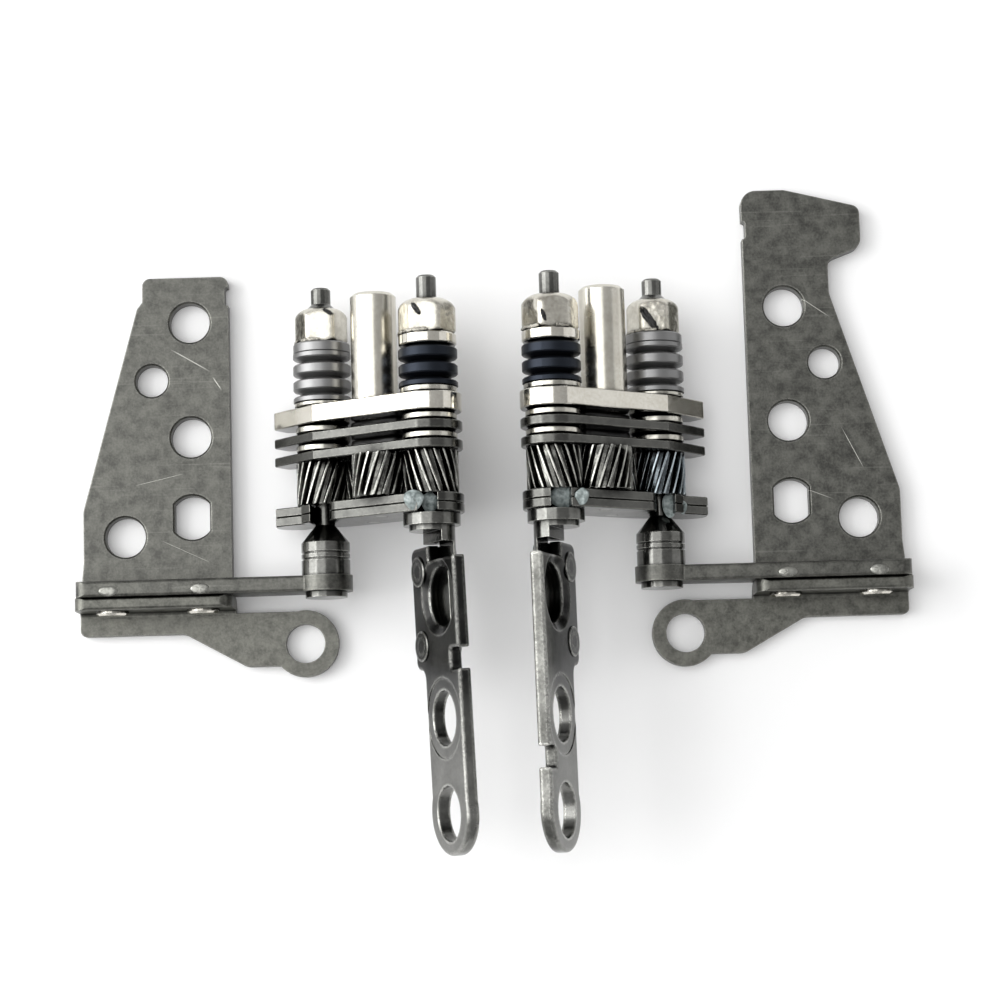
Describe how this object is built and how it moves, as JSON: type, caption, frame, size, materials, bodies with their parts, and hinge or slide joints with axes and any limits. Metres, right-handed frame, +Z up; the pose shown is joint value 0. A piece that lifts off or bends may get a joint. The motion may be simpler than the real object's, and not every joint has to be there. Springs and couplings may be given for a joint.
{
  "type": "laptop hinge pair",
  "caption": "Left and right geared two-shaft friction hinges that let a laptop lid fold right round its base, with screw leaves, lid arms and disc-spring stacks.",
  "frame": {"origin": "on the table under the middle of the pair's bounding box", "axes": "+X from the left hinge to the right hinge, +Y along the shafts towards their nuts, +Z up from the base leaves"},
  "size_m": [0.082, 0.0654, 0.016],
  "materials": {
    "bracket_steel": "dark matt grey plate with fine scratches",
    "foot_steel": "dark matt grey plate, a little lighter",
    "rivet_steel": "satin steel",
    "shaft_steel": "glossy gunmetal",
    "washer_steel": "satin steel with an oil film",
    "bright_nickel": "bright warm nickel",
    "post_steel": "bright turned steel",
    "grey_spring_steel": "grey spring steel",
    "blued_spring_steel": "blue-black spring steel",
    "plate_steel": "dark grey oiled plate",
    "link_steel": "black plate with pale grease",
    "gear_steel": "black gear steel with bright tooth tops",
    "arm_steel": "glossy gunmetal plate",
    "arm_rivet_steel": "glossy gunmetal"
  },
  "bodies": {
    "base": {"left_base_bracket": "bracket_steel", "left_foot_bracket": "foot_steel", "left_bracket_rivets": "rivet_steel", "left_base_shaft": "shaft_steel", "left_base_high_washer": "washer_steel", "left_base_low_washer": "washer_steel", "left_base_seat_washer": "bright_nickel", "left_base_disc_springs": "grey_spring_steel", "left_base_cap_washer": "grey_spring_steel", "left_base_nut": "bright_nickel", "right_base_bracket": "bracket_steel", "right_foot_bracket": "foot_steel", "right_bracket_rivets": "rivet_steel", "right_base_shaft": "shaft_steel", "right_base_high_washer": "washer_steel", "right_base_low_washer": "washer_steel", "right_base_seat_washer": "bright_nickel", "right_base_disc_springs": "grey_spring_steel", "right_base_cap_washer": "grey_spring_steel", "right_base_nut": "bright_nickel"},
    "left_link": {"left_post_plate": "bright_nickel", "left_guide_post": "post_steel", "left_friction_plate": "plate_steel", "left_gear_plate": "plate_steel", "left_inner_link_plate": "link_steel", "left_outer_link_plate": "link_steel"},
    "left_lid": {"left_lid_shaft": "shaft_steel", "left_lid_high_washer": "washer_steel", "left_lid_low_washer": "washer_steel", "left_lid_seat_washer": "bright_nickel", "left_lid_disc_springs": "blued_spring_steel", "left_lid_cap_washer": "bright_nickel", "left_lid_nut": "bright_nickel", "left_lid_arm": "arm_steel", "left_lid_arm_rivets": "arm_rivet_steel"},
    "left_near_idler": {"left_near_idler": "gear_steel"},
    "left_far_idler": {"left_far_idler": "gear_steel"},
    "right_link": {"right_post_plate": "bright_nickel", "right_guide_post": "post_steel", "right_friction_plate": "plate_steel", "right_gear_plate": "plate_steel", "right_inner_link_plate": "link_steel", "right_outer_link_plate": "link_steel"},
    "right_lid": {"right_lid_shaft": "shaft_steel", "right_lid_high_washer": "washer_steel", "right_lid_low_washer": "washer_steel", "right_lid_seat_washer": "bright_nickel", "right_lid_disc_springs": "blued_spring_steel", "right_lid_cap_washer": "bright_nickel", "right_lid_nut": "bright_nickel", "right_lid_arm": "arm_steel", "right_lid_arm_rivets": "arm_rivet_steel"},
    "right_near_idler": {"right_near_idler": "gear_steel"},
    "right_far_idler": {"right_far_idler": "gear_steel"}
  },
  "joints": [
    {"name": "left_base_shaft_turn", "type": "hinge", "parent": "base", "child": "left_link", "pos_m": [-0.0164, 0.00343, 0.0048], "axis": [0, 1, 0], "range_deg": [-57.5, 122.5]},
    {"name": "left_lid_shaft_turn", "type": "hinge", "parent": "left_link", "child": "left_lid", "pos_m": [-0.00577, 0.00343, 0.01157], "axis": [0, 1, 0], "range_deg": [-57.5, 122.5]},
    {"name": "left_near_idler_turn", "type": "hinge", "parent": "left_link", "child": "left_near_idler", "pos_m": [-0.01155, 0.00343, 0.00576], "axis": [0, 1, 0], "range_deg": [-57.5, 122.5]},
    {"name": "left_far_idler_turn", "type": "hinge", "parent": "left_link", "child": "left_far_idler", "pos_m": [-0.01062, 0.00343, 0.01061], "axis": [0, 1, 0], "range_deg": [-122.5, 57.5]},
    {"name": "right_base_shaft_turn", "type": "hinge", "parent": "base", "child": "right_link", "pos_m": [0.0164, 0.00343, 0.0048], "axis": [0, -1, 0], "range_deg": [-55, 125]},
    {"name": "right_lid_shaft_turn", "type": "hinge", "parent": "right_link", "child": "right_lid", "pos_m": [0.00608, 0.00343, 0.01203], "axis": [0, -1, 0], "range_deg": [-55, 125]},
    {"name": "right_near_idler_turn", "type": "hinge", "parent": "right_link", "child": "right_near_idler", "pos_m": [0.0116, 0.00343, 0.00597], "axis": [0, -1, 0], "range_deg": [-55, 125]},
    {"name": "right_far_idler_turn", "type": "hinge", "parent": "right_link", "child": "right_far_idler", "pos_m": [0.01088, 0.00343, 0.01086], "axis": [0, -1, 0], "range_deg": [-125, 55]}
  ],
  "couplings": [
    {"joint": "left_lid_shaft_turn", "follows": "left_base_shaft_turn", "ratio": 1},
    {"joint": "left_near_idler_turn", "follows": "left_base_shaft_turn", "ratio": 1},
    {"joint": "left_far_idler_turn", "follows": "left_base_shaft_turn", "ratio": -1},
    {"joint": "right_lid_shaft_turn", "follows": "right_base_shaft_turn", "ratio": 1},
    {"joint": "right_near_idler_turn", "follows": "right_base_shaft_turn", "ratio": 1},
    {"joint": "right_far_idler_turn", "follows": "right_base_shaft_turn", "ratio": -1}
  ]
}
